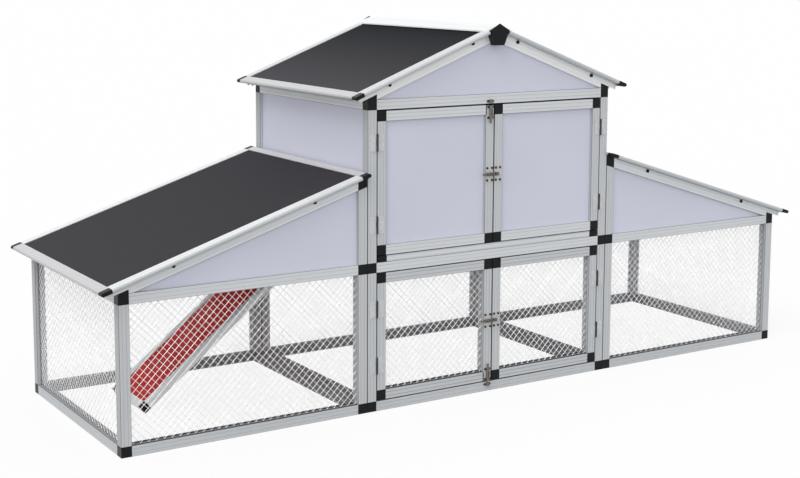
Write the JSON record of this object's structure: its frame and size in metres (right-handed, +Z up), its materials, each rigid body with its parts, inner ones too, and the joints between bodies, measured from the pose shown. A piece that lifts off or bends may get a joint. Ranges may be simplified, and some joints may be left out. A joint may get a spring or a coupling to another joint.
{
  "type": "chicken run",
  "caption": "Chicken run with a pitched-roof coop tower between lean-to mesh runs, in aluminium bar with black corner connectors, hinged doors, a pull-out floor tray and a ramp.",
  "frame": {"origin": "on the ground under the middle of the tower", "axes": "+X along the run to the right-hand run, +Y from the door side to the back, +Z up"},
  "size_m": [2.8328, 0.856, 1.27],
  "materials": {
    "aluminium_bar": "mill-finish extrusion with fine lengthwise lines",
    "black_plastic": "black moulded plastic",
    "lilac_panel": "smooth pale lilac-grey board",
    "roof_sheet": "dark grey weathered sheet",
    "wire_mesh": "galvanised wire",
    "steel_hardware": "zinc-plated steel",
    "tray_plastic": "dark grey plastic sheet",
    "red_tread": "red non-slip board"
  },
  "bodies": {
    "frame": {"left_run_frame": "aluminium_bar", "right_run_frame": "aluminium_bar", "tower_frame": "aluminium_bar", "left_run_connectors": "black_plastic", "right_run_connectors": "black_plastic", "tower_connectors": "black_plastic", "left_run_side_meshes": "wire_mesh", "right_run_side_meshes": "wire_mesh", "left_run_end_mesh": "wire_mesh", "right_run_end_mesh": "wire_mesh", "tower_back_mesh": "wire_mesh", "left_run_panels": "lilac_panel", "right_run_panels": "lilac_panel", "tower_left_wall": "lilac_panel", "tower_right_wall": "lilac_panel", "tower_back_wall": "lilac_panel", "gable_panels": "lilac_panel", "left_run_roof_sheet": "roof_sheet", "right_run_roof_sheet": "roof_sheet", "tower_roof_sheets": "roof_sheet", "left_run_roof_trim": "aluminium_bar", "right_run_roof_trim": "aluminium_bar", "tower_roof_trim": "aluminium_bar", "ridge_cap": "aluminium_bar", "ridge_end_caps": "black_plastic", "roof_end_caps": "black_plastic", "roof_bolts": "black_plastic", "frame_hinge_leaves": "steel_hardware", "hinge_pins": "steel_hardware", "bolt_keepers": "steel_hardware", "tray_runners": "aluminium_bar", "ramp_brackets": "steel_hardware", "ramp_pins": "steel_hardware"},
    "upper_left_door": {"upper_left_door_frame": "aluminium_bar", "upper_left_door_connectors": "black_plastic", "upper_left_door_panel": "lilac_panel", "upper_left_door_hardware": "steel_hardware"},
    "upper_right_door": {"upper_right_door_frame": "aluminium_bar", "upper_right_door_connectors": "black_plastic", "upper_right_door_panel": "lilac_panel", "upper_right_door_hardware": "steel_hardware"},
    "lower_left_door": {"lower_left_door_frame": "aluminium_bar", "lower_left_door_connectors": "black_plastic", "lower_left_door_mesh": "wire_mesh", "lower_left_door_hardware": "steel_hardware"},
    "lower_right_door": {"lower_right_door_frame": "aluminium_bar", "lower_right_door_connectors": "black_plastic", "lower_right_door_mesh": "wire_mesh", "lower_right_door_hardware": "steel_hardware"},
    "upper_upright_bolt": {"upper_upright_rod": "steel_hardware"},
    "upper_level_bolt": {"upper_level_rod": "steel_hardware"},
    "lower_upright_bolt": {"lower_upright_rod": "steel_hardware"},
    "lower_level_bolt": {"lower_level_rod": "steel_hardware"},
    "tray": {"floor_tray": "tray_plastic", "tray_front_bar": "aluminium_bar", "tray_end_caps": "black_plastic"},
    "ramp": {"ramp_frame": "aluminium_bar", "ramp_tread": "red_tread", "ramp_corners": "black_plastic"}
  },
  "joints": [
    {"name": "upper_left_door_hinge", "type": "hinge", "parent": "frame", "child": "upper_left_door", "pos_m": [-0.466, -0.4038, 0.75965], "axis": [0, 0, -1], "range_deg": [0, 140]},
    {"name": "upper_right_door_hinge", "type": "hinge", "parent": "frame", "child": "upper_right_door", "pos_m": [0.466, -0.4038, 0.75965], "axis": [0, 0, 1], "range_deg": [0, 140]},
    {"name": "lower_left_door_hinge", "type": "hinge", "parent": "frame", "child": "lower_left_door", "pos_m": [-0.466, -0.4038, 0.25], "axis": [0, 0, -1], "range_deg": [0, 165]},
    {"name": "lower_right_door_hinge", "type": "hinge", "parent": "frame", "child": "lower_right_door", "pos_m": [0.466, -0.4038, 0.25], "axis": [0, 0, 1], "range_deg": [0, 165]},
    {"name": "upper_upright_bolt_slide", "type": "slide", "parent": "upper_left_door", "child": "upper_upright_bolt", "axis": [0, 0, 1], "range_m": [0, 0.015]},
    {"name": "upper_level_bolt_slide", "type": "slide", "parent": "upper_left_door", "child": "upper_level_bolt", "axis": [1, 0, 0], "range_m": [0, 0.015]},
    {"name": "lower_upright_bolt_slide", "type": "slide", "parent": "lower_left_door", "child": "lower_upright_bolt", "axis": [0, 0, -1], "range_m": [0, 0.015]},
    {"name": "lower_level_bolt_slide", "type": "slide", "parent": "lower_left_door", "child": "lower_level_bolt", "axis": [1, 0, 0], "range_m": [0, 0.015]},
    {"name": "tray_slide", "type": "slide", "parent": "frame", "child": "tray", "axis": [0, -1, 0], "range_m": [0, 0.55]},
    {"name": "ramp_hinge", "type": "hinge", "parent": "frame", "child": "ramp", "pos_m": [-0.521, 0.107, 0.4875], "axis": [0, 1, 0], "range_deg": [0, 25]}
  ]
}
